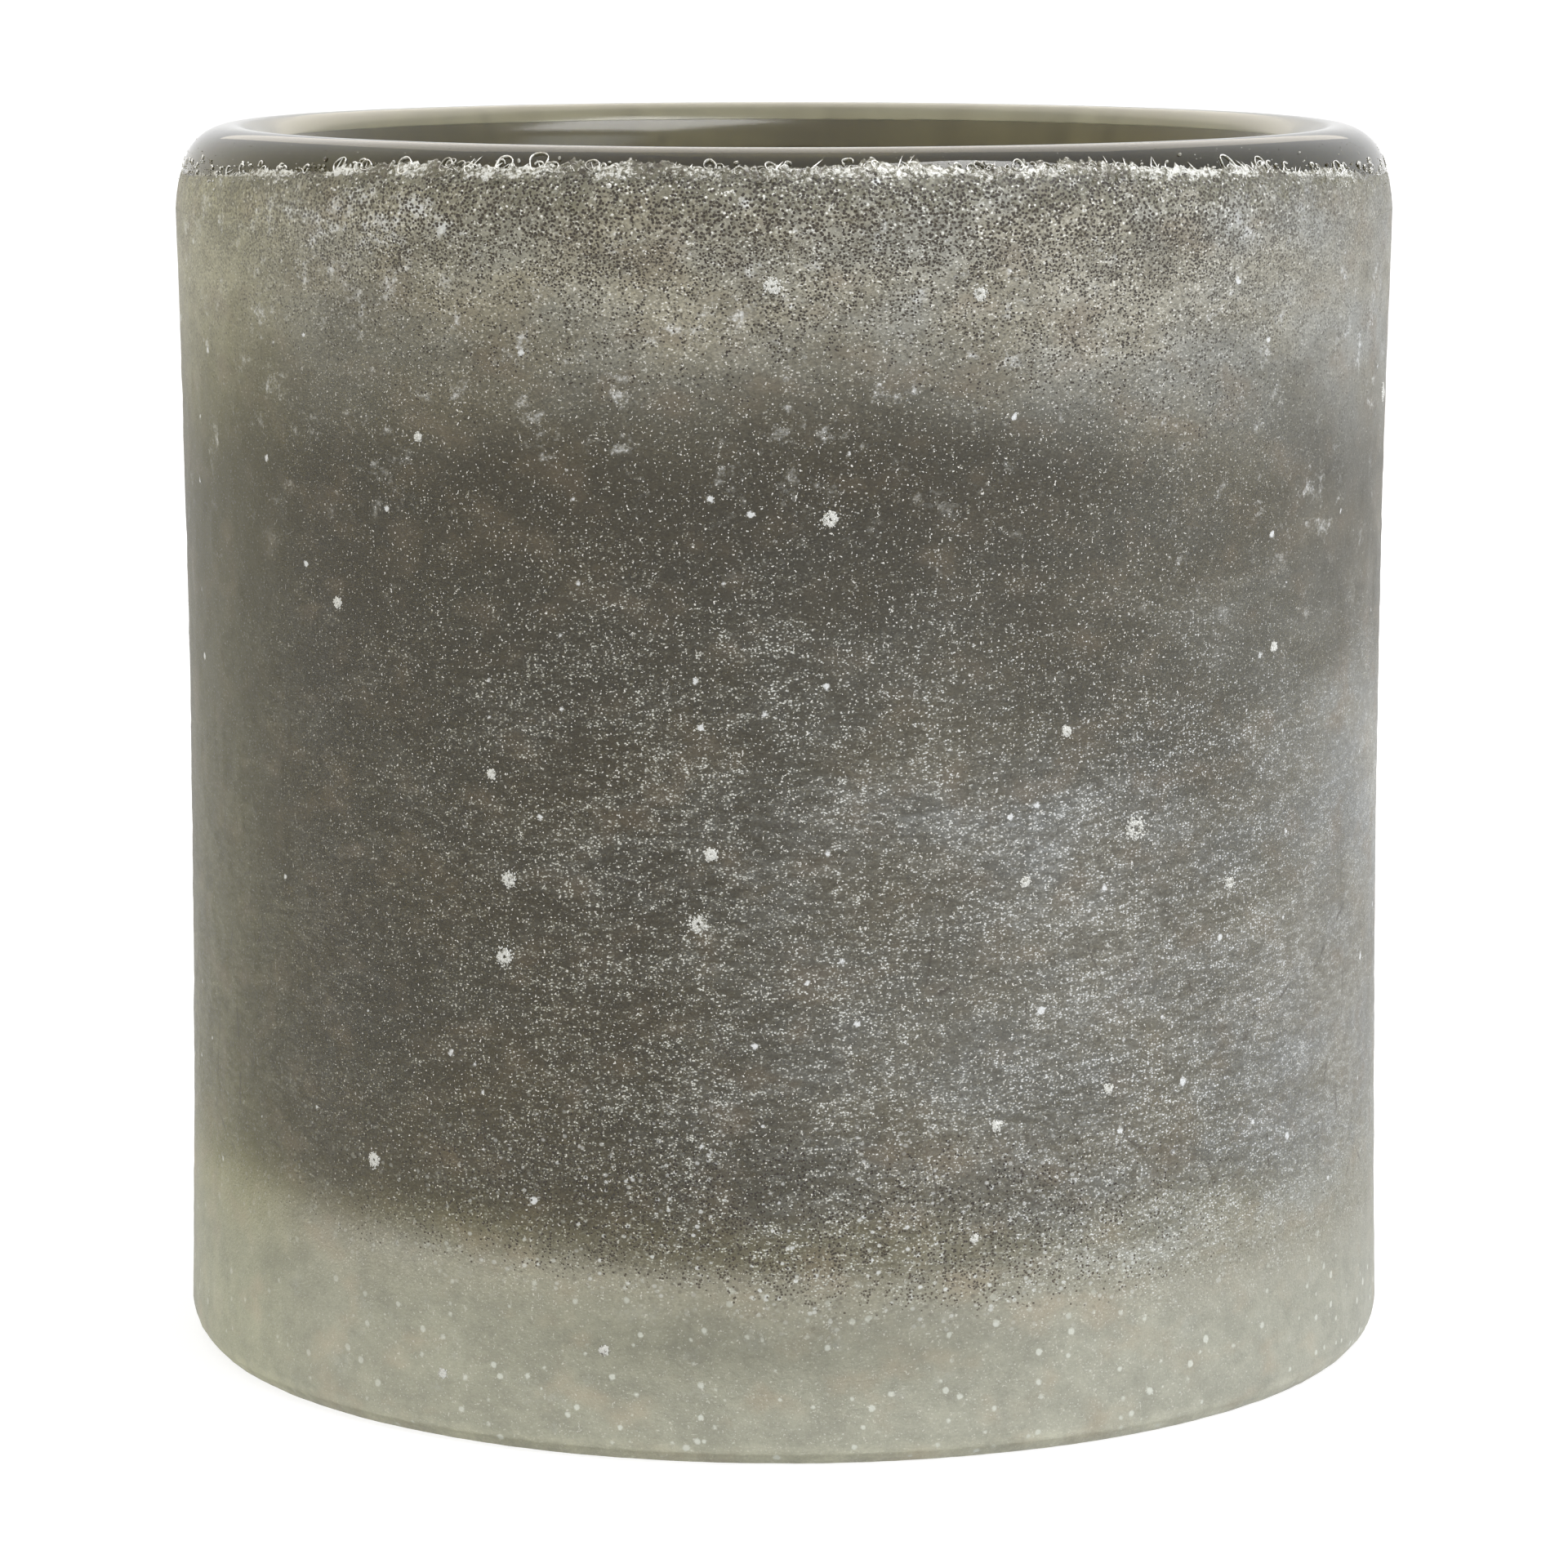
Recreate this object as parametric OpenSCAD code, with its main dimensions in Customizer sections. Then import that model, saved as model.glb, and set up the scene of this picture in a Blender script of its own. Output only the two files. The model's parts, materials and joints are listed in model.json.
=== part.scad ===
// Thick-walled glass cylinder vase with a fused granulate frost.
// Origin at the centre of the underside, +Z up, millimetres.

/* [Outside] */
// Widest diameter, over the frost
outer_d = 150; // [130:1:180]
// Height from the table to the top of the lip
height = 150; // [120:1:200]
// How far the wall draws in at half height
waist = 0.9; // [0.2:0.1:2]
// Radius of the bottom outside edge
foot_r = 3.4; // [1.5:0.1:4]

/* [Glass] */
// Thickness of the wall, without the frost
wall_t = 12; // [9:0.5:15]
// Thickness of the solid base at the middle
base_t = 20; // [14:1:26]
// Radius of the rounded corner between the inner wall and the inner floor
well_r = 10; // [6:1:16]
// Thickness of the smoky lining
lining_t = 1.6; // [1:0.1:3]
// Distance from the lining's upper edge up to where the lip starts to curve
lining_drop = 1; // [0.5:0.5:4]
// Diameter of the ground hollow under the base
pontil_d = 44; // [20:1:60]
// Depth of the ground hollow under the base
pontil_depth = 1.2; // [0.5:0.1:2]

/* [Frost] */
// Thickness of the fused granulate
frost_t = 1; // [0.6:0.1:1.4]
// Height above the table at which the frost ends
frost_low = 0.8; // [0.4:0.1:1.4]
// Distance from the top of the lip down to the frost's upper edge
frost_drop = 3; // [2.5:0.1:5]
// Distance from the top of the lip down to the foot of the coarse collar
collar_drop = 10; // [8:0.5:16]

/* [Bubbles] */
// Number of fused bubbles around the lip
bubble_count = 72; // [24:12:96]
// Radius of the smallest bubble
bubble_min_r = 0.45; // [0.3:0.05:0.5]
// Radius of the largest bubble
bubble_max_r = 0.65; // [0.5:0.05:0.7]
// Height of the line of foam that carries the bubbles
foam_h = 0.8; // [0.5:0.1:1]
// Thickness of the line of foam
foam_t = 0.7; // [0.65:0.05:0.8]

/* [Hidden] */
$fn = 144;

outer_r = outer_d / 2;
body_r = outer_r - frost_t;
bore_r = body_r - wall_t;
lip_r = wall_t / 2;
lip_x = body_r - lip_r;
lip_z = height - lip_r;
lining_top = lip_z - lining_drop;
collar_z = height - collar_drop;
frost_top = height - frost_drop;
pontil_sphere_r = (pontil_d * pontil_d / 4 + pontil_depth * pontil_depth) / (2 * pontil_depth);

// The waist follows a shallow parabola between the foot corner and the lip, in a few straight stretches.
waist_steps = 4;
waist_mid = (foot_r + lip_z) / 2;
waist_half = (lip_z - foot_r) / 2;
waist_levels = [for (i = [0:waist_steps]) foot_r + (lip_z - foot_r) * i / waist_steps];
function drawn_in(z) = waist * (1 - pow((z - waist_mid) / waist_half, 2));

// Half profile of the outside, from the axis out, grown by a given amount.
module silhouette(grow = 0) {
    wall = [for (z = waist_levels) [body_r + grow - drawn_in(z), z]];
    polygon(concat([[0, foot_r]], wall, [[lip_x, lip_z + lip_r / 2], [bore_r, lip_z], [0, lip_z]]));
    translate([body_r - foot_r, foot_r]) circle(r = foot_r + grow);
    square([body_r - foot_r, foot_r]);
    translate([lip_x, lip_z]) circle(r = lip_r + grow);
}

// Half profile of the well up to a given height, grown by a given amount.
module well(top, grow = 0) {
    r = bore_r + grow;
    corner_r = well_r + grow;
    floor_z = base_t - grow;
    translate([0, floor_z + corner_r]) square([r, top - floor_z - corner_r]);
    translate([0, floor_z]) square([r - corner_r, corner_r]);
    translate([r - corner_r, floor_z + corner_r]) circle(r = corner_r);
}

// A ring that lies on the outside of the body between two heights.
module crust(low, high, thickness) {
    rotate_extrude() difference() {
        intersection() {
            silhouette(thickness);
            translate([lip_x, low]) square([lip_r + thickness, high - low]);
        }
        silhouette();
    }
}

// Places children on the wall, with +X pointing outwards.
module on_wall(azimuth, z) {
    rotate([0, 0, azimuth - 90]) translate([0, 0, z]) children();
}

module glass_body() {
    color([0.72, 0.74, 0.68, 0.5])
    difference() {
        rotate_extrude() difference() {
            silhouette();
            well(lining_top, lining_t);
            well(lip_z);
        }
        translate([0, 0, pontil_depth - pontil_sphere_r]) sphere(r = pontil_sphere_r);
    }
}

module smoke_lining() {
    color([0.36, 0.33, 0.29])
    rotate_extrude() difference() {
        well(lining_top, lining_t);
        well(lip_z);
    }
}

module frost_skin() {
    color([0.62, 0.62, 0.57])
    crust(frost_low, collar_z, frost_t);
}

module granule_collar() {
    color([0.50, 0.48, 0.43])
    crust(collar_z, frost_top, frost_t);
}

// A thin line of foam on the lip, with beads along its upper edge.
module bubble_fringe() {
    top = frost_top + foam_h;
    edge_r = lip_x + sqrt(pow(lip_r + foam_t, 2) - pow(top - lip_z, 2));
    color([0.85, 0.86, 0.84]) {
        crust(frost_top, top, foam_t);
        for (i = [0:bubble_count - 1]) {
            size = bubble_min_r + (bubble_max_r - bubble_min_r) * abs(sin(i * 77));
            on_wall((i + 0.5) * 360 / bubble_count, top) translate([edge_r, 0, 0]) sphere(r = size, $fn = 24);
        }
    }
}

glass_body();
smoke_lining();
frost_skin();
granule_collar();
bubble_fringe();
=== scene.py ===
import json
import math

import bmesh
import bpy
import numpy as np
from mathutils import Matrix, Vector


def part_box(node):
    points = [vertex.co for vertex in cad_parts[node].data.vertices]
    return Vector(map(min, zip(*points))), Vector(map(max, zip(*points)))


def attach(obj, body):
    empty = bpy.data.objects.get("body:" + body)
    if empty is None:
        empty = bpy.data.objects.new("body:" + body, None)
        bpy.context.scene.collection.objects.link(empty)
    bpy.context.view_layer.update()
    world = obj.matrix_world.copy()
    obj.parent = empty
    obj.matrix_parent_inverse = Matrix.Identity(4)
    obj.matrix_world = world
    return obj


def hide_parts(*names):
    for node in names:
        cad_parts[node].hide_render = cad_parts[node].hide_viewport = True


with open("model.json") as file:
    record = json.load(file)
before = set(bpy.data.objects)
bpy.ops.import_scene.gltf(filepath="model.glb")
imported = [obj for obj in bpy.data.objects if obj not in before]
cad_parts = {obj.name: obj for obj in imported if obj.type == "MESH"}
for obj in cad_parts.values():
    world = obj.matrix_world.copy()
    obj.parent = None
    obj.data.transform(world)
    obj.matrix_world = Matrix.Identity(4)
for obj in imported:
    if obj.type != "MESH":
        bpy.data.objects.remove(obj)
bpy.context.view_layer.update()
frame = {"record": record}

# Sizes, all in metres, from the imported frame.
MM = 0.001
MOUTH = next(m for m in frame["record"]["mounts"] if m["name"] == "mouth")
BORE_R = MOUTH["dims"]["r_mm"] * MM
HEIGHT = round(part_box("glass_body")[1].z, 4)
OUTER_R = round(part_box("frost_skin")[1].x, 4)
BODY_R = round(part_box("glass_body")[1].x, 4)
FROST_T = OUTER_R - BODY_R
FROST_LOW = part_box("frost_skin")[0].z
COLLAR_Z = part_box("frost_skin")[1].z
FROST_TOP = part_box("granule_collar")[1].z
LINING_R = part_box("smoke_lining")[1].x
LINING_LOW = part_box("smoke_lining")[0].z
LINING_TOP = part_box("smoke_lining")[1].z
LINING_T = LINING_R - BORE_R
LIP_R = (BODY_R - BORE_R) / 2
LIP_X = BODY_R - LIP_R
LIP_Z = HEIGHT - LIP_R
# The frost's edge on the lip, as an angle up from the outward direction, and the share lost at the sides.
EDGE = math.asin((FROST_TOP - LIP_Z) / LIP_R)
EDGE_DROP = 0.95
# The collar starts to thin out this far below the lip.
THIN_FROM = 5 * MM
FLOOR_Z = LINING_LOW + LINING_T
# Corner radii of the well and the foot, how far the wall is drawn in, and the hollow in the underside.
WELL_R = 10 * MM
FOOT_R = 3.4 * MM
WAIST = 0.9 * MM
PONTIL_R = 22 * MM
PONTIL_DEPTH = 1.2 * MM
# The smoky lining ends inside the lip at this angle, in degrees up from the outward direction.
LINING_END = 140
# Layers that are melted together are drawn this far apart, so that no two surfaces lie in one place.
HAIR = 0.02 * MM
# The refractive index of glass.
GLASS = 1.5


# ---------------------------------------------------------------- noise for mesh relief
def lattice(cell, seed):
    """Pseudo-random numbers from 0 to 1 for whole-number cells, an array of shape (..., 3)."""
    n = cell[..., 0] * 73856093 ^ cell[..., 1] * 19349663 ^ cell[..., 2] * 83492791 ^ seed * 26544357
    n = (n ^ (n >> 13)) * 1274126177 & 0x7FFFFFFF
    return ((n ^ (n >> 16)) & 0xFFFF) / 0xFFFF


def value_noise(points, size, seed):
    """Smooth noise from 0 to 1 with features of the given size."""
    scaled = points / size
    cell = np.floor(scaled).astype(np.int64)
    t = scaled - cell
    t = t * t * (3 - 2 * t)
    total = 0
    for corner in np.ndindex(2, 2, 2):
        weight = np.prod(np.where(corner, t, 1 - t), axis=-1)
        total = total + weight * lattice(cell + np.array(corner), seed)
    return total


def grains(points, size, seed):
    """Distance to the nearest scattered grain, over the grain size, and that grain's random number."""
    scaled = points / size
    cell = np.floor(scaled).astype(np.int64)
    nearest = np.full(points.shape[:-1], np.inf)
    which = np.zeros(points.shape[:-1])
    for step in np.ndindex(3, 3, 3):
        other = cell + np.array(step) - 1
        centre = other + np.stack([lattice(other, seed + k) for k in range(3)], -1)
        distance = np.linalg.norm(scaled - centre, axis=-1)
        closer = distance < nearest
        nearest = np.where(closer, distance, nearest)
        which = np.where(closer, lattice(other, seed + 7), which)
    return nearest, which


# ---------------------------------------------------------------- meshes turned round the axis
def link_mesh(name, points, faces):
    mesh = bpy.data.meshes.new(name)
    mesh.from_pydata(points, [], faces)
    mesh.polygons.foreach_set("use_smooth", np.ones(len(mesh.polygons), bool))
    piece = bpy.data.objects.new(name, mesh)
    bpy.context.scene.collection.objects.link(piece)
    return piece


def turned(name, profile, slots, segments, relief=None):
    """A closed mesh turned round Z. profile is a list of (radius, height), and slots holds the material
    of the band after each point. A profile that starts and ends on the axis is capped there, any other
    is a ring. relief moves the points, given their radius, height and angle."""
    profile = np.array(profile, float)
    rows = len(profile)
    capped = profile[0, 0] == 0 and profile[-1, 0] == 0
    ring = profile[1:-1] if capped else profile
    angles = np.arange(segments) * 2 * np.pi / segments
    radius = np.repeat(ring[:, :1], segments, 1)
    height = np.repeat(ring[:, 1:], segments, 1)
    if relief:
        radius, height = relief(radius, height, np.repeat(angles[None], len(ring), 0))
    points = np.stack([radius * np.cos(angles), radius * np.sin(angles), height], -1)
    points = points.reshape(-1, 3).tolist()
    column = np.arange(segments)
    following = (column + 1) % segments
    faces = []
    materials = []
    for band in range(len(ring) - 1 if capped else len(ring)):
        low = band * segments
        high = (band + 1) % len(ring) * segments
        faces += np.stack([low + column, low + following, high + following, high + column], -1).tolist()
        materials += [slots[band + 1 if capped else band]] * segments
    if capped:
        last = len(points) - segments
        points += [(0, 0, profile[0, 1]), (0, 0, profile[-1, 1])]
        faces += [(len(points) - 2, (k + 1) % segments, k) for k in range(segments)]
        faces += [(len(points) - 1, last + k, last + (k + 1) % segments) for k in range(segments)]
        materials += [slots[0]] * segments + [slots[rows - 2]] * segments
    piece = link_mesh(name, points, faces)
    piece.data.polygons.foreach_set("material_index", np.array(materials, np.int32))
    piece.data.set_sharp_from_angle(angle=math.radians(50))
    return piece


def arc(centre_r, centre_z, radius, start, end, steps):
    """Points along an arc of a half profile, with angles in degrees up from the outward direction."""
    return [
        (centre_r + radius * math.cos(math.radians(a)), centre_z + radius * math.sin(math.radians(a)))
        for a in np.linspace(start, end, steps + 1)
    ]


def drawn_in(z):
    """How far the wall is drawn in at a height, as a parabola from the foot corner to the lip."""
    middle = (FOOT_R + LIP_Z) / 2
    half = (LIP_Z - FOOT_R) / 2
    return WAIST * np.maximum(0, 1 - ((z - middle) / half) ** 2)


def wall(grow, low, high, steps):
    """Points up the outside wall between two heights."""
    return [(BODY_R + grow - drawn_in(z), z) for z in np.linspace(low, high, steps + 1)]


# ---------------------------------------------------------------- material helpers
class Shader:
    """A material's node tree, with a short call for each kind of node. Places and sizes are in mm."""

    def __init__(self, name):
        self.material = bpy.data.materials.new(name)
        self.material.use_nodes = True
        self.tree = self.material.node_tree
        self.bsdf = self.tree.nodes["Principled BSDF"]
        metres = self.add("ShaderNodeTexCoord").outputs["Object"]
        self.place = self.scaled(metres, (1 / MM, 1 / MM, 1 / MM))

    def add(self, kind, **settings):
        node = self.tree.nodes.new(kind)
        for key, value in settings.items():
            setattr(node, key, value)
        return node

    def feed(self, value, socket):
        if isinstance(value, bpy.types.NodeSocket):
            self.tree.links.new(value, socket)
        else:
            socket.default_value = value

    def scaled(self, vector, scale, shift=(0, 0, 0)):
        node = self.add("ShaderNodeMapping")
        self.feed(vector, node.inputs["Vector"])
        node.inputs["Scale"].default_value = scale
        node.inputs["Location"].default_value = shift
        return node.outputs["Vector"]

    def flat(self, squash, shift=0.0):
        """The place with features made lower than they are wide, moved so that patterns differ."""
        return self.scaled(self.place, (1, 1, squash), (shift, shift, shift))

    def along(self, axis):
        node = self.add("ShaderNodeSeparateXYZ")
        self.feed(self.place, node.inputs[0])
        return node.outputs[axis]

    def radius(self):
        node = self.add("ShaderNodeVectorMath", operation="LENGTH")
        self.feed(self.flat(0.0), node.inputs[0])
        return node.outputs["Value"]

    def noise(self, size, detail=2.0, rough=0.5, squash=1.0, shift=0.0):
        node = self.add("ShaderNodeTexNoise")
        self.feed(self.flat(squash, shift), node.inputs["Vector"])
        node.inputs["Scale"].default_value = 1 / size
        node.inputs["Detail"].default_value = detail
        node.inputs["Roughness"].default_value = rough
        return node.outputs["Fac"]

    def cells(self, size, squash=1.0, shift=0.0, feature="F1"):
        node = self.add("ShaderNodeTexVoronoi", feature=feature)
        self.feed(self.flat(squash, shift), node.inputs["Vector"])
        node.inputs["Scale"].default_value = 1 / size
        return node.outputs

    def math(self, operation, a, b=0.0):
        node = self.add("ShaderNodeMath", operation=operation)
        self.feed(a, node.inputs[0])
        self.feed(b, node.inputs[1])
        return node.outputs[0]

    def plus(self, a, b):
        return self.math("ADD", a, b)

    def minus(self, a, b):
        return self.math("SUBTRACT", a, b)

    def product(self, a, b):
        return self.math("MULTIPLY", a, b)

    def larger(self, a, b):
        return self.math("MAXIMUM", a, b)

    def absolute(self, a):
        return self.math("ABSOLUTE", a)

    def ramp(self, value, low, high, out_low=0.0, out_high=1.0):
        """Maps low..high to out_low..out_high, with soft ends."""
        node = self.add("ShaderNodeMapRange", interpolation_type="SMOOTHSTEP")
        for socket, number in zip(
            ("Value", "From Min", "From Max", "To Min", "To Max"), (value, low, high, out_low, out_high)
        ):
            self.feed(number, node.inputs[socket])
        return node.outputs["Result"]

    def mix(self, share, a, b):
        node = self.add("ShaderNodeMix", data_type="RGBA")
        self.feed(share, node.inputs["Factor"])
        self.feed(a, node.inputs["A"])
        self.feed(b, node.inputs["B"])
        return node.outputs["Result"]

    def times(self, colour, factor):
        """The colour times a number."""
        node = self.add("ShaderNodeVectorMath", operation="SCALE")
        self.feed(colour, node.inputs[0])
        self.feed(factor, node.inputs["Scale"])
        return node.outputs["Vector"]

    def tinted(self, colour, tint):
        """The colour times another colour."""
        node = self.add("ShaderNodeVectorMath", operation="MULTIPLY")
        self.feed(colour, node.inputs[0])
        self.feed(tint, node.inputs[1])
        return node.outputs["Vector"]

    def blend(self, share, a, b):
        node = self.add("ShaderNodeMix", data_type="FLOAT")
        self.feed(share, node.inputs["Factor"])
        self.feed(a, node.inputs["A"])
        self.feed(b, node.inputs["B"])
        return node.outputs["Result"]

    def bump(self, value, strength, depth):
        node = self.add("ShaderNodeBump")
        self.feed(value, node.inputs["Height"])
        node.inputs["Strength"].default_value = strength
        node.inputs["Distance"].default_value = depth
        self.feed(node.outputs["Normal"], self.bsdf.inputs["Normal"])

    def bell(self, x, middle_x, wide, z, middle_z, tall):
        """A soft patch on the wall, 1 in its middle and 0 outside."""
        across = self.ramp(self.absolute(self.minus(x, middle_x)), wide, 0.0)
        upward = self.ramp(self.absolute(self.minus(z, middle_z)), tall, 0.0)
        return self.product(across, upward)

    def set(self, **values):
        for name, value in values.items():
            self.feed(value, self.bsdf.inputs[name.replace("_", " ")])

    def see_through(self, colour):
        """Nothing but a tint: light goes straight on."""
        clear = self.add("ShaderNodeBsdfTransparent")
        self.feed(colour, clear.inputs["Color"])
        self.feed(clear.outputs[0], self.tree.nodes["Material Output"].inputs["Surface"])
        self.tree.nodes.remove(self.bsdf)

    def milk(self, colour, share):
        """A layer that scatters part of the light, half of it back and half of it on."""
        clear = self.add("ShaderNodeBsdfTransparent")
        back = self.add("ShaderNodeBsdfDiffuse")
        onward = self.add("ShaderNodeBsdfTranslucent")
        scatter = self.add("ShaderNodeMixShader")
        layer = self.add("ShaderNodeMixShader")
        self.feed(colour, back.inputs["Color"])
        self.feed(colour, onward.inputs["Color"])
        self.feed(back.outputs[0], scatter.inputs[1])
        self.feed(onward.outputs[0], scatter.inputs[2])
        self.feed(share, layer.inputs["Fac"])
        self.feed(clear.outputs[0], layer.inputs[1])
        self.feed(scatter.outputs[0], layer.inputs[2])
        self.feed(layer.outputs[0], self.tree.nodes["Material Output"].inputs["Surface"])
        self.tree.nodes.remove(self.bsdf)


def rgb(red, green, blue):
    return (red, green, blue, 1.0)


# ---------------------------------------------------------------- materials
def fused():
    """Where two layers of glass are melted together there is no surface to see."""
    shader = Shader("fused_glass")
    shader.see_through(rgb(0.968, 0.972, 0.925))
    return shader.material


def milky_fused():
    """The inside of the collar: the milk of its granules, seen through the lip. It is laid thicker towards
    the back, painted light that makes the back of the lip paler as if lit from behind.
    """
    shader = Shader("milky_fused")
    # painted light: the milk share rises from front to back, so the back of the lip shows paler as if
    # backlit
    shader.milk(rgb(0.95, 0.93, 0.84), shader.ramp(shader.along("Y"), -30, 40, 0.3, 0.85))
    return shader.material


def smoke_film():
    """The smoke colour that light takes on as it crosses the lining."""
    shader = Shader("smoke_film")
    cloud = shader.noise(26, 2.0, squash=1.3)
    tint = shader.mix(shader.ramp(cloud, 0.3, 0.7), rgb(0.372, 0.352, 0.255), rgb(0.52, 0.50, 0.385))
    shader.see_through(tint)
    return shader.material


def lining_glass():
    """The smooth face of the smoky lining, towards the flowers."""
    shader = Shader("lining_glass")
    cloud = shader.noise(30, 2.0, shift=40)
    tint = shader.mix(shader.ramp(cloud, 0.3, 0.7), rgb(0.41, 0.362, 0.27), rgb(0.56, 0.50, 0.38))
    shader.set(Base_Color=tint, Transmission_Weight=1.0, IOR=GLASS, Roughness=0.2)
    shader.bump(shader.noise(14, 1.0), 0.3, 0.4 * MM)
    return shader.material


def lip_glass():
    """The fire-polished lip, clear and faintly olive."""
    shader = Shader("lip_glass")
    cloud = shader.noise(24, 2.0, shift=15)
    tint = shader.mix(cloud, rgb(0.56, 0.53, 0.37), rgb(0.68, 0.65, 0.48))
    dull = shader.ramp(shader.radius(), 66, 68, 0.2, 0.04)
    shader.set(Base_Color=tint, Transmission_Weight=1.0, IOR=GLASS, Roughness=dull)
    shader.bump(shader.noise(12, 1.0), 0.12, 0.3 * MM)
    return shader.material


def foot_glass():
    """The clear underside, scuffed where it stands."""
    shader = Shader("foot_glass")
    scuff = shader.noise(0.8, 3.0)
    ground = shader.ramp(shader.radius(), 67, 71)
    shader.set(
        Base_Color=shader.mix(scuff, rgb(0.84, 0.85, 0.76), rgb(0.92, 0.93, 0.86)),
        Transmission_Weight=shader.blend(ground, 0.9, 0.15),
        IOR=GLASS,
        Roughness=shader.blend(ground, shader.ramp(scuff, 0.4, 0.7, 0.12, 0.4), 0.5),
    )
    shader.bump(scuff, 0.2, 0.1 * MM)
    return shader.material


class Frost(Shader):
    """Frosted glass: a veil of pale grains and dark pits over the see-through wall, in bands by height.
    Each band and pattern is a share. crisp is how clear the grain stays: it fades towards the left and
    right edges of the front, which are out of focus in the photograph, and is whole at the back."""

    def __init__(self, name, coarse):
        super().__init__(name)
        self.coarse = coarse
        self.find_bands()
        self.find_patterns()

    def find_bands(self):
        """Where the frost changes: up the wall, towards the sides and at the back."""
        self.x = self.along("X")
        self.y = self.along("Y")
        self.z = self.along("Z")
        self.aside = self.absolute(self.x)
        # from front to back, from left to right, and the left edge of the front; the last two also carry
        # painted light: the right paler and cooler as if lit from the right, the left edge yellower as if
        # lit warm from the left
        self.rear = self.ramp(self.y, -30, 5)
        self.side = self.ramp(self.x, -45, 60)
        self.left = self.product(self.ramp(self.x, -52, -69), self.ramp(self.rear, 1.0, 0.0))
        # the height with a ragged swing, for the upper band, and with a slight one, for the base
        cloud = self.minus(self.noise(32, 2.0), 0.5)
        ragged = self.plus(self.z, self.product(cloud, 26))
        ragged = self.plus(ragged, self.ramp(self.x, 5, 48, 0, 11))
        self.ragged = self.plus(ragged, self.ramp(self.x, -58, -72, 0, 7))
        self.upper = self.ramp(self.ragged, 112, 139)
        foot = self.plus(self.z, self.product(cloud, 5))
        self.foot = self.plus(foot, self.ramp(self.x, -55, 55, -2.2, 2.2))
        self.base = self.ramp(self.foot, 28, 13)
        self.middle = self.product(self.ramp(self.ragged, 112, 84), self.ramp(self.base, 0.8, 0.0))
        self.crisp = self.larger(self.ramp(self.aside, 38, 72, 1.0, 0.4), self.rear)

    def find_patterns(self):
        """The noise that the frost follows, from wide patches down to single grains."""
        self.patch = self.noise(11, 4.0, 0.6, squash=2.3, shift=7)
        self.wide = self.noise(38, 2.0, squash=1.5, shift=90)
        self.rows = self.noise(2.2, 3.0, 0.6, squash=3.2, shift=5)
        self.fine = self.noise(0.45, 3.0, 0.65, squash=1.25, shift=20)
        if self.coarse:
            self.grit = self.cells(0.36, squash=1.1, shift=14)
        else:
            self.grit = self.cells(0.31, squash=1.5, shift=14)
        self.core = self.ramp(self.grit["Distance"], 0.62, 0.30)

    def haze(self):
        """The thin haze over the dark band, in patches, and thicker to the right and at the left edge:
        painted light, the right as if lit from the right and the left edge as if rim-lit.
        """
        # painted light: the haze thickens from left to right, as if lit from the right
        haze = self.ramp(self.side, 0.0, 0.8, 0.0, 0.35)
        haze = self.plus(haze, self.ramp(self.patch, 0.35, 0.65, -0.04, 0.08))
        haze = self.plus(haze, self.ramp(self.rows, 0.35, 0.65, -0.06, 0.12))
        haze = self.product(haze, self.ramp(self.wide, 0.3, 0.7, 0.7, 1.4))
        # painted light: more haze at the right edge, as if lit from the right
        right = self.product(self.ramp(self.x, 46, 70), self.ramp(self.z, 40, 100, 0.20, 0.50))
        haze = self.plus(haze, right)
        # painted light: a little haze at the left edge, as if rim-lit
        haze = self.plus(haze, self.ramp(self.x, -60, -73, 0.0, 0.12))
        haze = self.plus(haze, self.product(self.bell(self.x, 16, 32, self.z, 51, 18), 0.17))
        return self.product(haze, self.middle)

    def veil(self):
        """How thick the pale veil lies: nearly whole above and at the base, with a haze between, and a paler
        patch on the right of the dark band that is painted light.
        """
        veil = self.product(self.upper, self.ramp(self.patch, 0.34, 0.60, 0.72, 0.95))
        veil = self.larger(self.haze(), veil)
        # painted light: a paler patch on the right of the dark band, as if lit from the right
        painted_glow = self.ramp(self.patch, 0.35, 0.65, 0.24, 0.44)
        veil = self.larger(veil, self.product(self.bell(self.x, 58, 46, self.z, 97, 40), painted_glow))
        return self.larger(veil, self.base)

    def ground(self, veil):
        """The brown glass under its veil, before any single grain, with painted light laid in by position:
        yellower at the left edge, paler and cooler to the right, a little darker at the far right edge, and
        brighter in the lowest few mm, against the shade under the foot.
        """
        # painted light: the brown is yellower at the left edge, as if lit warm from the left
        brown = self.mix(self.left, rgb(0.152, 0.130, 0.080), rgb(0.168, 0.150, 0.060))
        # painted light: the veil is cooler towards the right, as if lit cool from the right
        pale = self.mix(self.side, rgb(0.482, 0.458, 0.37), rgb(0.487, 0.476, 0.428))
        # painted shade: a little darker at the far right edge
        pale = self.times(pale, self.ramp(self.x, 58, 73, 1.0, 0.86))
        pale = self.mix(self.middle, pale, rgb(0.44, 0.44, 0.42))
        # painted light: the base is paler towards the right, as if lit from the right
        low = self.mix(self.side, rgb(0.215, 0.21, 0.155), rgb(0.258, 0.255, 0.21))
        pale = self.mix(self.base, pale, low)
        # painted light: the lowest few mm are up to twice as bright, against the shade under the foot
        pale = self.times(pale, self.ramp(self.z, 3.2, 0.6, 1.0, 2.0))
        return self.mix(veil, brown, pale)

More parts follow.
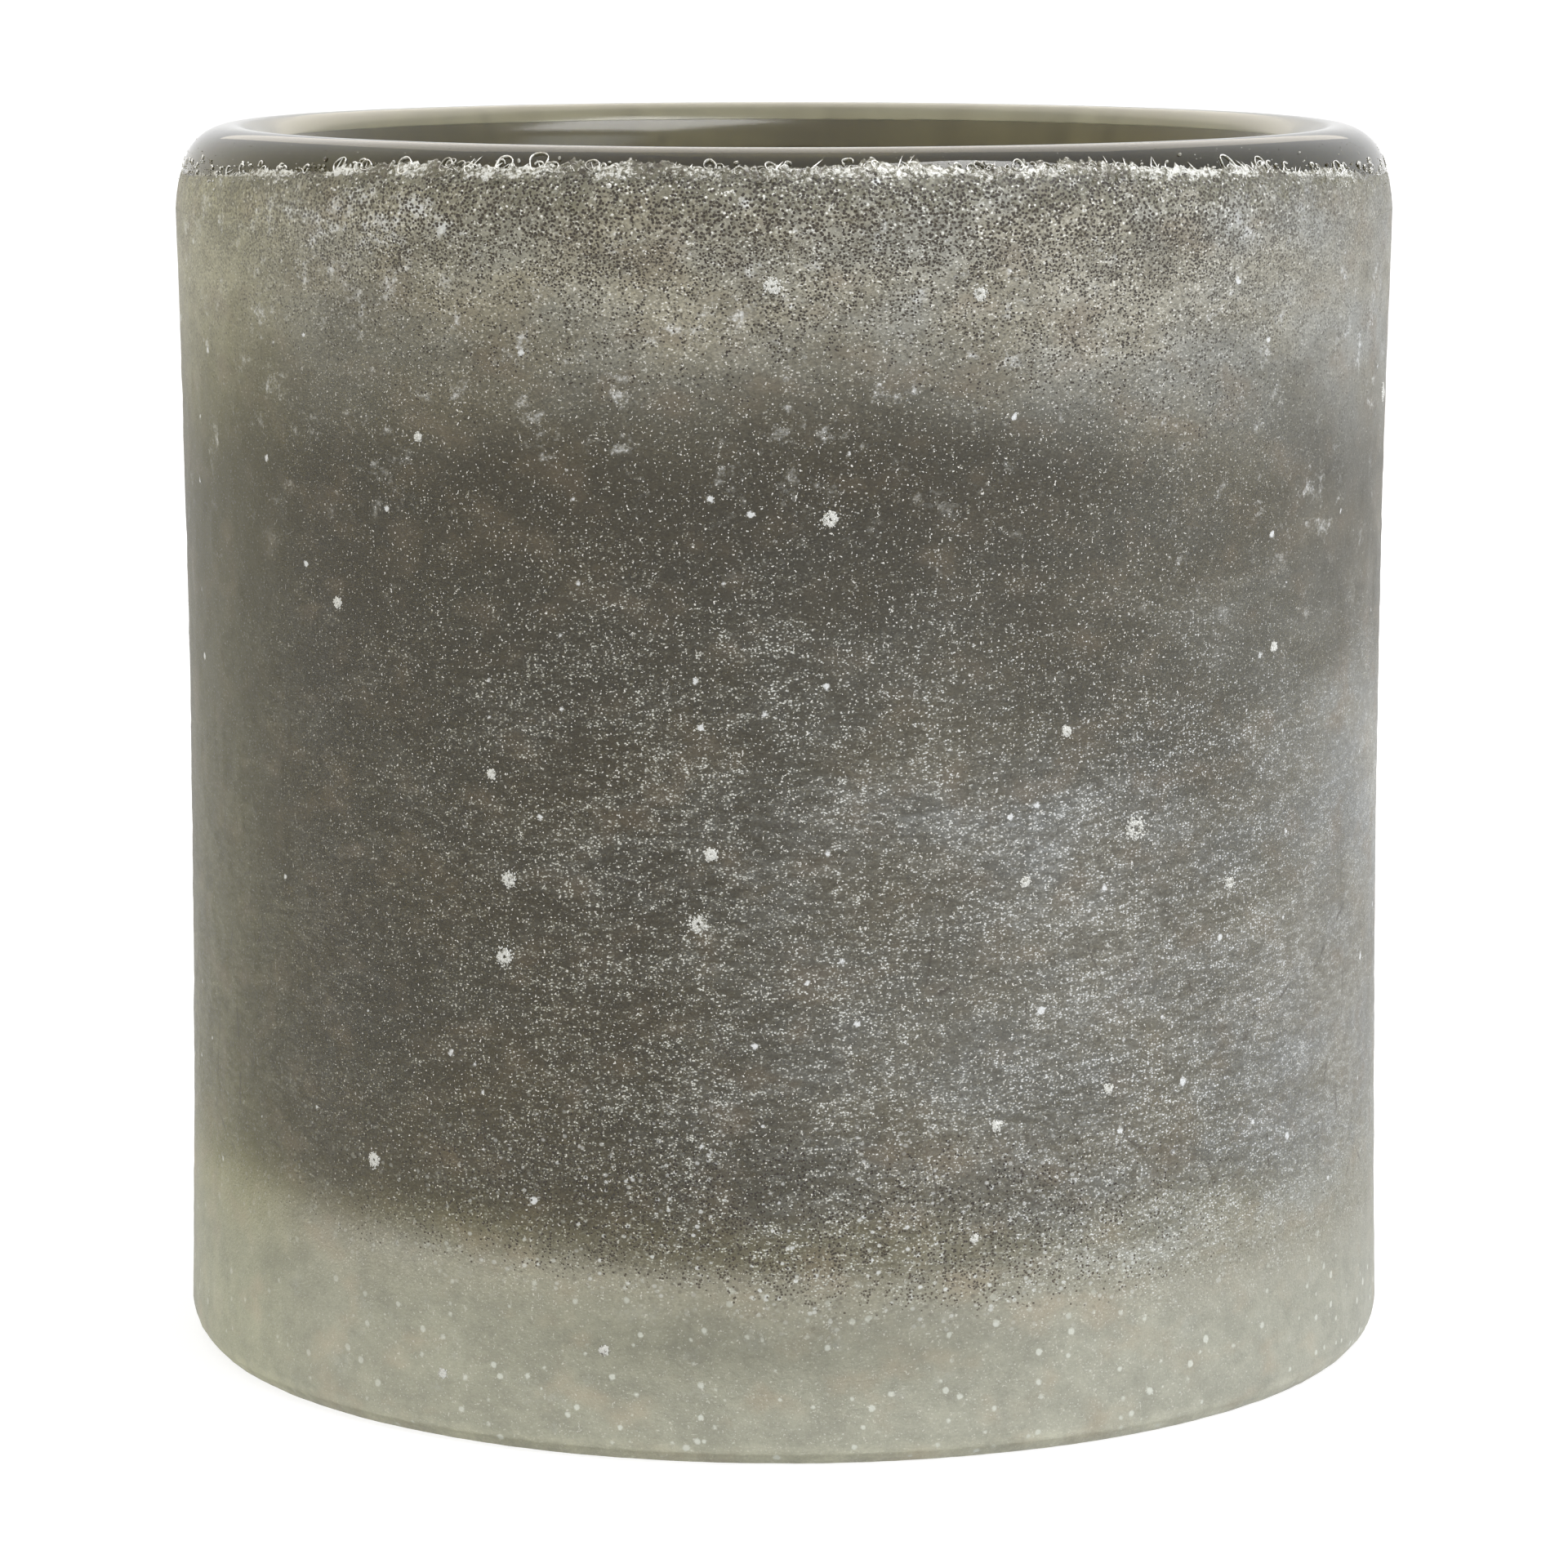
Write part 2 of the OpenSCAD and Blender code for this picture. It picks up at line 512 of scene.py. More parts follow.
    def cast(self, colour):
        """Clouds of warmer and cooler colour, a yellow cast at the left edge that is painted warm light, and
        painted shade below the lip in the middle of the front.
        """
        warmth = self.ramp(self.noise(21, 3.0, 0.6, squash=2.0, shift=120), 0.36, 0.64)
        cast = self.mix(warmth, rgb(0.97, 1.0, 1.05), rgb(1.025, 1.0, 0.935))
        cast = self.mix(self.larger(self.left, self.base), cast, rgb(1.0, 1.0, 1.0))
        outer = self.larger(self.upper, self.base)
        # painted light: a yellow cast at the left edge, as if lit warm from the left
        yellow = self.mix(outer, rgb(1.09, 1.08, 0.66), rgb(1.03, 1.04, 0.87))
        colour = self.tinted(colour, self.mix(self.left, cast, yellow))
        # painted shade: darker in the middle of the front just below the lip
        painted_shade = self.product(self.ramp(self.aside, 42, 12), self.ramp(self.z, 135, 142, 0.0, 0.16))
        return self.times(colour, self.minus(1.0, painted_shade))

    def grained(self, colour):
        """Gives each grain its own tone, the more so the higher up it is."""
        tone = self.plus(self.product(self.grit["Color"], 0.55), self.product(self.fine, 0.45))
        contrast = self.blend(self.base, self.blend(self.upper, 0.40, 0.52), 0.12)
        contrast = self.product(self.product(contrast, self.crisp), 3.2)
        swing = self.product(self.minus(tone, 0.5), contrast)
        return self.times(colour, self.larger(self.plus(swing, 1.0), 0.25))

    def mottled(self, colour):
        """Makes the pale base uneven."""
        mottle = self.noise(5, 7.0, 0.78, squash=1.3, shift=36)
        uneven = self.ramp(mottle, 0.32, 0.68, 0.76, 1.20)
        return self.times(colour, self.blend(self.base, 1.0, uneven))

    def thinned(self):
        """How far the crust has thinned out towards its upper edge. It thins sooner at the back, which is
        painted light: the back of the rim paler as if lit from behind.
        """
        uneven = self.ramp(self.noise(2.4, 3.0, 0.6, shift=130), 0.35, 0.65, -1.5, 1.5)
        # painted light: the thinning comes sooner towards the back, so the back of the rim reads paler as if
        # backlit
        thin = self.plus(self.plus(self.z, uneven), self.ramp(self.y, 0, 45, 0.0, 1.3))
        return self.ramp(thin, 142.5, 146.0, 0.0, 0.85)

    def rust(self):
        """Faint rusty clouds."""
        return self.ramp(self.noise(7, 3.0, squash=1.5, shift=77), 0.50, 0.76, 0.0, 0.38)

    def specks(self):
        """Pale grains, from faint to bright, thickest in flat rows, and fewer on the left of the front,
        which is painted shade.
        """
        cover = self.ramp(self.patch, 0.30, 0.66, 0.04, 0.25)
        cover = self.plus(cover, self.ramp(self.rows, 0.36, 0.64, 0.0, 0.32))
        cover = self.product(cover, self.ramp(self.ragged, 120, 84, 0.35, 1.0))
        # painted shade: fewer pale grains on the left of the front, the side away from the light
        cover = self.product(cover, self.larger(self.ramp(self.x, -66, -10, 0.32, 1.0), self.rear))
        cover = self.product(cover, self.blend(self.base, 1.0, 0.25))
        if self.coarse:
            cover = self.plus(cover, self.ramp(self.z, 139, 147, 0.0, 0.24))
        least = self.minus(0.86, cover)
        speck = self.product(self.ramp(self.grit["Color"], least, self.plus(least, 0.42)), self.core)
        return self.product(speck, self.ramp(self.crisp, 0.25, 0.8, 0.5, 1.0))

    def painted_glints(self):
        """Single bright points: painted glints."""
        spark = self.ramp(self.noise(0.26, 1.0, shift=30), 0.66, 0.72)
        return self.product(spark, self.product(self.blend(self.base, 1.0, 0.4), self.crisp))

    def glints(self):
        """The brightest grains of the upper band: white grains, partly painted glints."""
        glint = self.product(self.ramp(self.grit["Color"], 0.74, 0.86), self.core)
        height = self.product(self.upper, self.ramp(self.z, 115, 146, 0.45, 1.0))
        return self.product(self.product(glint, height), self.crisp)

    def spots(self, size, shift, widths, rim, uneven, most):
        """Round spots of mixed widths. rim is how soft their edge is, and uneven how far it wanders."""
        spot = self.cells(size, shift=shift)
        wide = self.ramp(spot["Color"], *widths)
        away = self.plus(spot["Distance"], self.product(self.minus(self.fine, 0.5), uneven))
        return self.ramp(away, wide, self.minus(wide, rim), 0.0, most)

    def blots(self):
        """White blots, most of them in the upper band, and small white spots above the base."""
        drift = self.product(self.bell(self.x, -49, 20, self.z, 140, 9), 0.13)
        blot = self.plus(self.noise(5.0, 5.0, 0.8, squash=1.2, shift=61), drift)
        blot = self.ramp(blot, 0.56, 0.72, 0.0, 0.75)
        blot = self.product(blot, self.ramp(self.ragged, 96, 124, 0.12, 1.0))
        spot = self.spots(5.0, 33, (0.25, 0.95, 0.03, 0.125), 0.05, 0.16, 0.9)
        return self.larger(blot, self.product(spot, self.ramp(self.base, 1.0, 0.0)))

    def base_spots(self):
        """Soft round spots in the pale base, fainter at the left."""
        soft = self.spots(1.8, 47, (0.20, 0.95, 0.02, 0.32), 0.13, 0.22, 0.8)
        return self.product(soft, self.product(self.base, self.ramp(self.x, -60, -25, 0.5, 1.0)))

    def gaps(self):
        """Brown gaps between the grains, widest at the top."""
        gap = self.product(self.upper, self.ramp(self.z, 118, 145, 0.26, 0.56))
        uneven = self.noise(3.2, 3.0, 0.6, shift=18)
        gap = self.product(gap, self.ramp(uneven, 0.36, 0.62, 0.45, 1.25))
        gap = self.ramp(self.grit["Color"], gap, self.minus(gap, 0.16), 0.0, 0.85)
        return self.product(self.product(gap, self.crisp), self.core)

    def pits(self):
        """Dark pits, many in the upper band and near the foot of the dark part."""
        hole = self.cells(0.42 if self.coarse else 0.34, squash=1.1, shift=3)
        low = self.product(self.ramp(self.foot, 46, 30, 0.0, 0.9), self.ramp(self.foot, 17, 22))
        low = self.product(low, self.ramp(self.aside, 15, 60, 1.0, 0.4))
        deep = self.larger(self.product(self.upper, self.ramp(self.z, 132, 144, 0.8, 2.1)), low)
        uneven = self.noise(2.2, 3.0, shift=11)
        deep = self.product(deep, self.ramp(uneven, 0.34, 0.62, 0.35, 1.25))
        most = self.product(deep, 0.60)
        pit = self.ramp(hole["Color"], most, self.minus(most, 0.10))
        return self.product(pit, self.product(self.ramp(hole["Distance"], 0.54, 0.34), self.crisp))

    def lumps(self):
        """Larger lumps where the dark part ends: the white ones and the dark ones."""
        lump = self.cells(0.80, squash=1.2, shift=81)
        height = self.product(self.ramp(self.foot, 50, 30), self.ramp(self.foot, 14, 22))
        ball = self.product(self.ramp(lump["Distance"], 0.48, 0.22), height)
        ball = self.product(ball, self.ramp(self.aside, 15, 60, 1.0, 0.3))
        white = self.product(ball, self.ramp(lump["Color"], 0.66, 0.82, 0.0, 0.8))
        return white, self.product(ball, self.ramp(lump["Color"], 0.36, 0.22, 0.0, 0.7))

    def cracks(self):
        """Short dark cracks."""
        crack = self.cells(12, squash=0.55, shift=55, feature="DISTANCE_TO_EDGE")["Distance"]
        short = self.ramp(self.noise(4.0, 1.0, shift=70), 0.56, 0.64)
        crack = self.product(self.ramp(crack, 0.014, 0.004), short)
        crack = self.product(crack, self.ramp(self.ragged, 88, 66, 0.0, 0.5))
        return self.product(crack, self.ramp(self.base, 0.2, 0.0))


def granulate(name, coarse):
    """One grade of frost: the veiled wall, then its grains, spots, gaps and pits laid over it."""
    frost = Frost(name, coarse)
    veil = frost.veil()
    colour = frost.grained(frost.cast(frost.ground(veil)))
    passing = frost.blend(frost.base, frost.blend(veil, 0.86, 0.50), 0.58)
    clearing = 0.0
    if coarse:
        thin = frost.thinned()
        colour = frost.mix(thin, colour, rgb(0.60, 0.58, 0.46))
        passing = frost.blend(thin, passing, 0.92)
        # painted light: where the crust is thin at the back, its dark grains give way, so the back of the
        # rim reads paler as if backlit
        clearing = frost.product(thin, frost.ramp(frost.y, 0, 45, 0.0, 0.8))
    grainy = frost.minus(1.0, clearing)
    colour = frost.mottled(colour)
    # painted light: pale grains cooler and brighter towards the right, as if lit cool from the right
    white = frost.mix(frost.side, rgb(0.66, 0.67, 0.60), rgb(0.74, 0.76, 0.77))
    speck = frost.specks()
    pit = frost.pits()
    white_lump, dark_lump = frost.lumps()
    # each layer's share, its colour, and how much light it lets through
    for share, own_colour, through in (
        (frost.rust(), rgb(0.33, 0.245, 0.16), 0.6),
        (frost.product(frost.gaps(), grainy), rgb(0.130, 0.105, 0.070), 0.75),
        (frost.product(speck, grainy), white, 0.25),
        (frost.painted_glints(), rgb(0.80, 0.79, 0.74), 0.3),
        (frost.product(frost.glints(), grainy), rgb(0.84, 0.84, 0.80), 0.2),
        (frost.blots(), rgb(0.76, 0.78, 0.79), 0.2),
        (frost.base_spots(), rgb(0.60, 0.62, 0.57), 0.4),
        (white_lump, rgb(0.72, 0.74, 0.74), 0.25),
        (dark_lump, rgb(0.075, 0.062, 0.048), 0.7),
        (frost.cracks(), rgb(0.09, 0.07, 0.055), 0.7),
        (frost.product(pit, grainy), rgb(0.045, 0.032, 0.022), 0.6),
    ):
        colour = frost.mix(share, colour, own_colour)
        passing = frost.blend(share, passing, through)
    frost.set(Base_Color=colour, Transmission_Weight=passing, Roughness=0.46, IOR=GLASS)
    relief = frost.plus(frost.product(frost.fine, 1.2), frost.product(speck, 0.6))
    frost.bump(frost.minus(relief, pit), 0.6 if coarse else 0.5, 0.16 * MM)
    return frost.material


def foam_glass(name, thin, thick, through):
    """Bubbly white glass, clear and dark in its hollows. Its whiteness wanders from thin to thick."""
    shader = Shader(name)
    bank = shader.ramp(shader.noise(7, 2.0, shift=27), 0.35, 0.65, thin, thick)
    milk = shader.ramp(shader.plus(shader.noise(0.5, 3.0, 0.65), bank), 0.42, 0.62)
    hollow = shader.ramp(shader.plus(shader.noise(0.8, 2.0, 0.6, shift=9), bank), 0.42, 0.30, 0.0, 0.85)
    colour = shader.mix(milk, rgb(0.42, 0.40, 0.31), rgb(0.80, 0.80, 0.76))
    shader.set(
        Base_Color=shader.mix(hollow, colour, rgb(0.20, 0.17, 0.13)),
        Transmission_Weight=shader.blend(milk, 0.8, through),
        IOR=GLASS,
        Roughness=0.2,
    )
    shader.bump(milk, 0.25, 0.08 * MM)
    return shader.material


FUSED = fused()
MILKY = milky_fused()
FILM = smoke_film()
LINING = lining_glass()
LIP = lip_glass()
FOOT = foot_glass()
FROST = granulate("frost", False)
COARSE = granulate("coarse_frost", True)
FOAM = foam_glass("foam_glass", thin=-0.10, thick=0.07, through=0.35)
BLISTER = foam_glass("blister_glass", thin=0.12, thick=0.16, through=0.35)


# ---------------------------------------------------------------- glass layers
def dress(piece, node, materials):
    for material in materials:
        piece.data.materials.append(material)
    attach(piece, "root")
    if node:
        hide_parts(node)


def edge_share(across):
    """How high up the lip the frost reaches, as a share of EDGE. across is the sine of the azimuth."""
    return 1 - EDGE_DROP * abs(across) ** 3


def calm(across):
    """How rough the rim is, from 1 at the front and back to least at the sides, as a share."""
    return 1 - 0.85 * across**4


def slide_edge(radius, height, angles):
    """Moves the points of the lip's outer half along it, so that its material starts at the frost's edge."""
    rise = np.arctan2(height - LIP_Z, radius - LIP_X)
    edge = EDGE * edge_share(np.cos(angles))
    stretch = (np.pi / 2 - edge) / (np.pi / 2 - EDGE)
    moved = np.where(rise <= EDGE, rise * edge / EDGE, edge + (rise - EDGE) * stretch)
    outer = (radius > LIP_X) & (height > LIP_Z) & (rise < np.pi / 2)
    radius = np.where(outer, LIP_X + LIP_R * np.cos(moved), radius)
    return radius, np.where(outer, LIP_Z + LIP_R * np.sin(moved), height)


def lining_taper(inset):
    """The outside of the lining where it thins out inside the lip, from its end down to the seat."""
    (end_r, end_z) = arc(LIP_X, LIP_Z, LIP_R, LINING_END, LINING_END, 0)[0]
    return [
        (LINING_R - inset + (end_r - LINING_R + inset) * t**2, LINING_TOP + (end_z - LINING_TOP) * t)
        for t in np.linspace(1, 0, 9)
    ]


def casing():
    """The heavy clear body: polished lip, solid base, and fused faces where other layers lie on it."""
    edge = math.degrees(EDGE)
    hollow = [(r, PONTIL_DEPTH * (1 - (r / PONTIL_R) ** 2)) for r in np.linspace(0, PONTIL_R, 9)]
    foot = arc(BODY_R - FOOT_R, FOOT_R, FOOT_R, -90, -40, 5)
    outside = arc(BODY_R - FOOT_R, FOOT_R, FOOT_R, -40, 0, 4)[1:] + wall(0, FOOT_R, LIP_Z, 60)[1:]
    outside += arc(LIP_X, LIP_Z, LIP_R, 0, edge, 6)[1:]
    lip = arc(LIP_X, LIP_Z, LIP_R, edge, LINING_END, 44)[1:]
    seat = lining_taper(0)[1:] + [(LINING_R, FLOOR_Z + WELL_R)]
    seat += arc(BORE_R - WELL_R, FLOOR_Z + WELL_R, WELL_R + LINING_T, 0, -90, 12)[1:]
    profile = hollow + foot + outside + lip + seat + [(0, LINING_LOW)]
    slots = [0] * (len(hollow) + len(foot) - 1) + [2] * len(outside)
    slots += [1] * len(lip) + [2] * (len(seat) + 1)
    piece = turned("glass_casing", profile, slots, 360, slide_edge)
    dress(piece, "glass_body", [FOOT, LIP, FUSED])


def lining():
    """The smoky cup inside. Its outside is fused to the casing."""
    corner = BORE_R - WELL_R
    outer = [(0, LINING_LOW + HAIR)]
    outer += arc(corner, FLOOR_Z + WELL_R, WELL_R + LINING_T - HAIR, -90, 0, 12)
    outer += lining_taper(HAIR)[:0:-1]
    inner = arc(LIP_X, LIP_Z, LIP_R, LINING_END, 180, 16)
    inner += arc(corner, FLOOR_Z + WELL_R, WELL_R, 0, -90, 24) + [(0, FLOOR_Z)]
    slots = [1] * len(outer) + [0] * len(inner)
    piece = turned("smoky_lining", outer + inner, slots, 360)
    dress(piece, "smoke_lining", [LINING, FILM])


def frosted_wall():
    """The fine granulate on the outside, with its own low relief."""
    angle = -math.degrees(math.asin((FOOT_R - FROST_LOW) / FOOT_R))
    outer = arc(BODY_R - FOOT_R, FOOT_R, FOOT_R + FROST_T, angle, 0, 4)
    outer += wall(FROST_T, FOOT_R, COLLAR_Z, 112)[1:]
    inner = wall(HAIR, COLLAR_Z, FOOT_R, 8)
    inner += arc(BODY_R - FOOT_R, FOOT_R, FOOT_R + HAIR, 0, angle, 4)[1:]
    slots = [0] * (len(outer) - 1) + [1] * len(inner) + [0]

    def relief(radius, height, angles):
        points = np.stack([radius * np.cos(angles), radius * np.sin(angles), height], -1)
        outside = np.arange(len(radius))[:, None] < len(outer)
        lumps = value_noise(points, 5 * MM, 3) - 0.5
        pebbles = value_noise(points, 1.6 * MM, 5) - 0.5
        fade = np.clip((COLLAR_Z - height) / (6 * MM), 0, 1)
        return radius + outside * fade * (0.10 * lumps + 0.14 * pebbles) * MM, height

    piece = turned("frost_granulate", outer + inner, slots, 720, relief)
    dress(piece, "frost_skin", [FROST, FUSED])


def collar():
    """The coarser granules below the lip, thinning out to a ragged edge."""
    edge = math.degrees(EDGE)
    outer = wall(FROST_T, COLLAR_Z, LIP_Z, 16)
    outer += arc(LIP_X, LIP_Z, LIP_R + FROST_T, 0, edge, 12)[1:]
    inner = arc(LIP_X, LIP_Z, LIP_R + HAIR, edge, 0, 4)
    inner += wall(HAIR, LIP_Z, COLLAR_Z, 3)[1:]
    slots = [0] * len(outer) + [1] * len(inner)

    def relief(radius, height, angles):
        rise = np.arctan2(height - LIP_Z, radius - LIP_X)
        reach = np.hypot(height - LIP_Z, radius - LIP_X)
        edge_line = np.stack([75 * np.cos(angles), 75 * np.sin(angles), 0 * angles], -1) * MM
        ragged = value_noise(edge_line, 1.1 * MM, 21) + 0.8 * value_noise(edge_line, 3.5 * MM, 22) - 0.9
        lowered = edge_share(np.cos(angles))
        above = height > LIP_Z
        outside = np.arange(len(radius))[:, None] < len(outer)
        share = np.clip(rise / EDGE, 0, 1)
        rise = rise * (1 + 0.20 * ragged) * lowered
        climb = np.where(above, LIP_R * rise, height - LIP_Z) + THIN_FROM
        climb = np.clip(climb / (THIN_FROM + LIP_R * EDGE * lowered), 0, 1)
        thinner = outside * 0.8 * FROST_T * climb**2
        reach = reach - thinner
        radius = np.where(above, LIP_X + reach * np.cos(rise), radius - thinner)
        height = np.where(above, LIP_Z + reach * np.sin(rise), height)
        points = np.stack([radius * np.cos(angles), radius * np.sin(angles), height], -1)
        near, which = grains(points, 0.9 * MM, 31)
        holes = np.clip(1 - near / 0.42, 0, 1) * (which > 0.45)
        lumps = value_noise(points, 0.7 * MM, 33) - 0.5
        swell = value_noise(points, 3 * MM, 35) - 0.5
        fade = np.clip((height - COLLAR_Z) / (3 * MM), 0, 1) * (1 - 0.7 * share**4)
        fade = fade * calm(np.cos(angles))
        return radius + outside * fade * (0.24 * lumps + 0.2 * swell - 0.34 * holes) * MM, height

    piece = turned("coarse_collar", outer + inner, slots, 1440, relief)
    dress(piece, "granule_collar", [COARSE, MILKY])


# ---------------------------------------------------------------- foam and blisters
class Heap:
    """Many small closed shapes gathered into one mesh."""

    def __init__(self):
        self.points = []
        self.faces = []
        self.count = 0

    def put(self, points, faces):
        self.points.append(points)
        self.faces += [[self.count + k for k in face] for face in faces]
        self.count += len(points)

    def tube(self, path, outward, thin, tall, closed=False, sides=6):
        """A strand along a path. thin is its half width and tall its half height away from the wall."""
        path = np.array(path)
        n = len(path)
        ahead = np.roll(path, -1, 0) - np.roll(path, 1, 0)
        if not closed:
            ahead[0] = path[1] - path[0]
            ahead[-1] = path[-1] - path[-2]
        ahead /= np.linalg.norm(ahead, axis=1)[:, None]
        across = np.cross(ahead, outward)
        across /= np.linalg.norm(across, axis=1)[:, None]
        turn = np.arange(sides) * 2 * np.pi / sides
        thin = np.broadcast_to(thin, n)[:, None, None]
        tall = np.broadcast_to(tall, n)[:, None, None]
        rings = path[:, None] + thin * across[:, None] * np.cos(turn)[None, :, None]
        rings = rings + tall * outward[:, None] * np.sin(turn)[None, :, None]
        faces = []
        for k in range(n if closed else n - 1):
            for j in range(sides):
                a = k * sides + j
                b = k * sides + (j + 1) % sides
                c = (k + 1) % n * sides + (j + 1) % sides
                d = (k + 1) % n * sides + j
                faces.append((a, b, c, d))
        if not closed:
            faces.append(list(range(sides))[::-1])
            faces.append([(n - 1) * sides + j for j in range(sides)])
        self.put(rings.reshape(-1, 3), faces)

    def blob(self, centre, axes, radii, ball):
        """A ball with its own axes and radii."""
        points, faces = ball
        self.put(points * np.array(radii) @ np.array(axes) + centre, faces)

    def finish(self, name):
        return link_mesh(name, np.concatenate(self.points).tolist(), self.faces)


def unit_ball(subdivisions):
    """The corners and faces of a ball of radius 1."""
    ball = bmesh.new()
    bmesh.ops.create_icosphere(ball, subdivisions=subdivisions, radius=1)
    points = np.array([v.co[:] for v in ball.verts])
    faces = [[v.index for v in face.verts] for face in ball.faces]
    ball.free()
    return points, faces


GRAIN = unit_ball(1)


def on_wall(azimuth, z, lift=0.0):
    """A point on the frosted wall and its axes: right, up, outward. Azimuth runs right from the front."""
    a = math.radians(azimuth)
    r = OUTER_R - drawn_in(z) + lift
    out = np.array([math.sin(a), -math.cos(a), 0])
    right = np.array([math.cos(a), math.sin(a), 0])
    return out * r + np.array([0, 0, z]), np.array([right, [0, 0, 1], out])


def on_lip(azimuth, rise, lift=0.0):
    """A point on the lip, at an arc length above the frost's edge, and its axes."""
    a = math.radians(azimuth)
    phi = EDGE * edge_share(math.sin(a)) + rise / LIP_R
    flat = np.array([math.sin(a), -math.cos(a), 0])
    up = np.array([0, 0, 1])
    right = np.array([math.cos(a), math.sin(a), 0])
    out = flat * math.cos(phi) + up * math.sin(phi)
    along = up * math.cos(phi) - flat * math.sin(phi)
    place = flat * LIP_X + up * LIP_Z + out * (LIP_R + lift)
    return place, np.array([right, along, out])


def ring_on_lip(heap, rng, azimuth, rise, radius, start=0.0, sweep=360.0):
    """The wall of a burst bubble: part of a ring standing on the lip."""
    closed = sweep >= 360
    steps = max(8, int(20 * sweep / 360))
    turns = np.radians(start + np.linspace(0, sweep, steps, endpoint=not closed))
    uneven = 1 + 0.13 * np.sin(turns * 2 + rng.uniform(0, 6))
    uneven = uneven + 0.07 * np.sin(turns * 3 + rng.uniform(0, 6))
    path = []
    outward = []
    for turn, part in zip(turns, uneven):
        reach = radius * part
        step = math.degrees(reach * math.cos(turn) / BODY_R)
        place, axes = on_lip(azimuth + step, rise + reach * math.sin(turn), 0.10 * MM)
        path.append(place)
        outward.append(axes[2])
    swell = 1 + 0.35 * np.sin(turns + rng.uniform(0, 6))
    thin = rng.uniform(0.05, 0.09) * MM * swell
    tall = rng.uniform(0.16, 0.3) * MM * calm(math.sin(math.radians(azimuth)))
    heap.tube(path, np.array(outward), thin, tall, closed)


# Large bubbles on the front of the rim: azimuth in degrees, rise above the frost and radius in mm.
BIG_BUBBLES = (
    (-44, 0.6, 0.9), (-40.5, 0.5, 0.7), (-36, 0.5, 1.0), (-31.5, 0.6, 0.8), (-29, 0.2, 0.6),
    (-25.6, 0.7, 1.1), (-22.3, 1.2, 1.25), (-20.8, 0.3, 0.75), (-17.0, 0.5, 0.8),
    (-6.5, 0.7, 0.7), (7.5, 0.5, 0.6), (21, 0.5, 0.7), (44, 0.7, 1.1), (48.5, 0.6, 1.0), (62, 0.4, 0.9),
)


def foam_sheet(heap):
    """A crust of foam that climbs the lip from the frost's edge: raised walls, torn along the top."""
    columns = 2100
    rows = 10
    azimuths = np.arange(columns) * 360 / columns
    around = np.radians(azimuths)
    rough = calm(np.sin(around))
    line = np.stack([np.cos(around), np.sin(around), 0 * around], -1) * 72 * MM
    spike = (1 - abs(2 * value_noise(line, 1.3 * MM, 41) - 1)) ** 6
    shred = (1 - abs(2 * value_noise(line, 0.7 * MM, 44) - 1)) ** 3
    swell = value_noise(line, 2.4 * MM, 42)
    bank = value_noise(line, 7 * MM, 43)
    top = (0.5 + spike * 1.3 * swell + shred * 0.6 + swell * 0.5 + bank * 1.2) * rough - 0.3
    low = (-0.2 - 1.7 * value_noise(line, 1.2 * MM, 45)) * rough
    outside = []
    inside = []
    for share in np.linspace(0, 1, rows):
        rises = (low + (top - low) * share) * MM
        spots = [on_lip(azimuth, rise) for azimuth, rise in zip(azimuths, rises)]
        places = np.array([place for place, axes in spots])
        outs = np.array([axes[2] for place, axes in spots])
        near, which = grains(places, 0.9 * MM, 51)
        ridge = np.clip((near - 0.30) / 0.30, 0, 1)
        thick = (0.08 + 0.36 * ridge * (0.5 + 0.5 * which)) * MM * (1 - share**3 * 0.7) * rough
        thick = thick * min(1, 0.2 + 3 * share)
        outside.append(places + outs * thick[:, None])
        inside.append(places + outs * HAIR)
    loop = outside + inside[::-1]
    column = np.arange(columns)
    following = (column + 1) % columns
    faces = []
    for k in range(len(loop)):
        one = k * columns
        other = (k + 1) % len(loop) * columns
        corners = [one + column, one + following, other + following, other + column]
        faces += np.stack(corners, -1).tolist()
    heap.put(np.concatenate(loop), faces)


